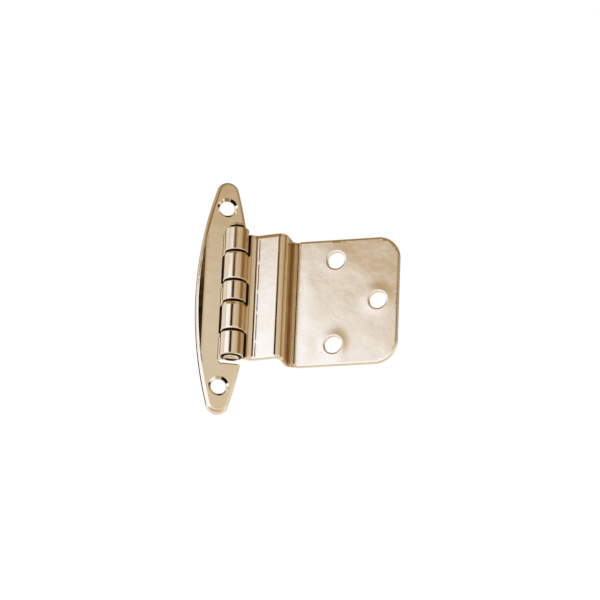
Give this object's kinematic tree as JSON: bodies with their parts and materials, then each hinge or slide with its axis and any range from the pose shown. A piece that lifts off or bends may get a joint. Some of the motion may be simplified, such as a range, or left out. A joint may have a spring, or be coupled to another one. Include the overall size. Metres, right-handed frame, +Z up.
{
  "type": "inset cabinet hinge",
  "caption": "Semi-concealed cabinet hinge: pointed-oval frame wing, plain barrel and pin, and a stepped door leaf with rounded corners, in polished champagne plating.",
  "frame": {"origin": "midway between the two screw holes of the frame wing, on the back face of the wing's sheet", "axes": "+Z up along the hinge pin, +X from the frame wing towards the door leaf, -Y towards the room; the cabinet frame's face is the plane Y = +1.2 mm. The door leaf is 25 degrees open at rest"},
  "size_m": [0.0568, 0.0139, 0.0698],
  "materials": {
    "wing_plating": "polished champagne plating on pressed steel",
    "leaf_plating": "polished champagne plating on pressed steel",
    "pin_plating": "champagne-plated steel pin, ends peened"
  },
  "bodies": {
    "frame": {"frame_wing": "wing_plating", "hinge_pin": "pin_plating"},
    "door": {"door_leaf": "leaf_plating"}
  },
  "joints": [
    {"name": "door_swing", "type": "hinge", "parent": "frame", "child": "door", "pos_m": [0.00285, -0.0034, 0], "axis": [0, 0, -1], "range_deg": [-25, 155]}
  ]
}
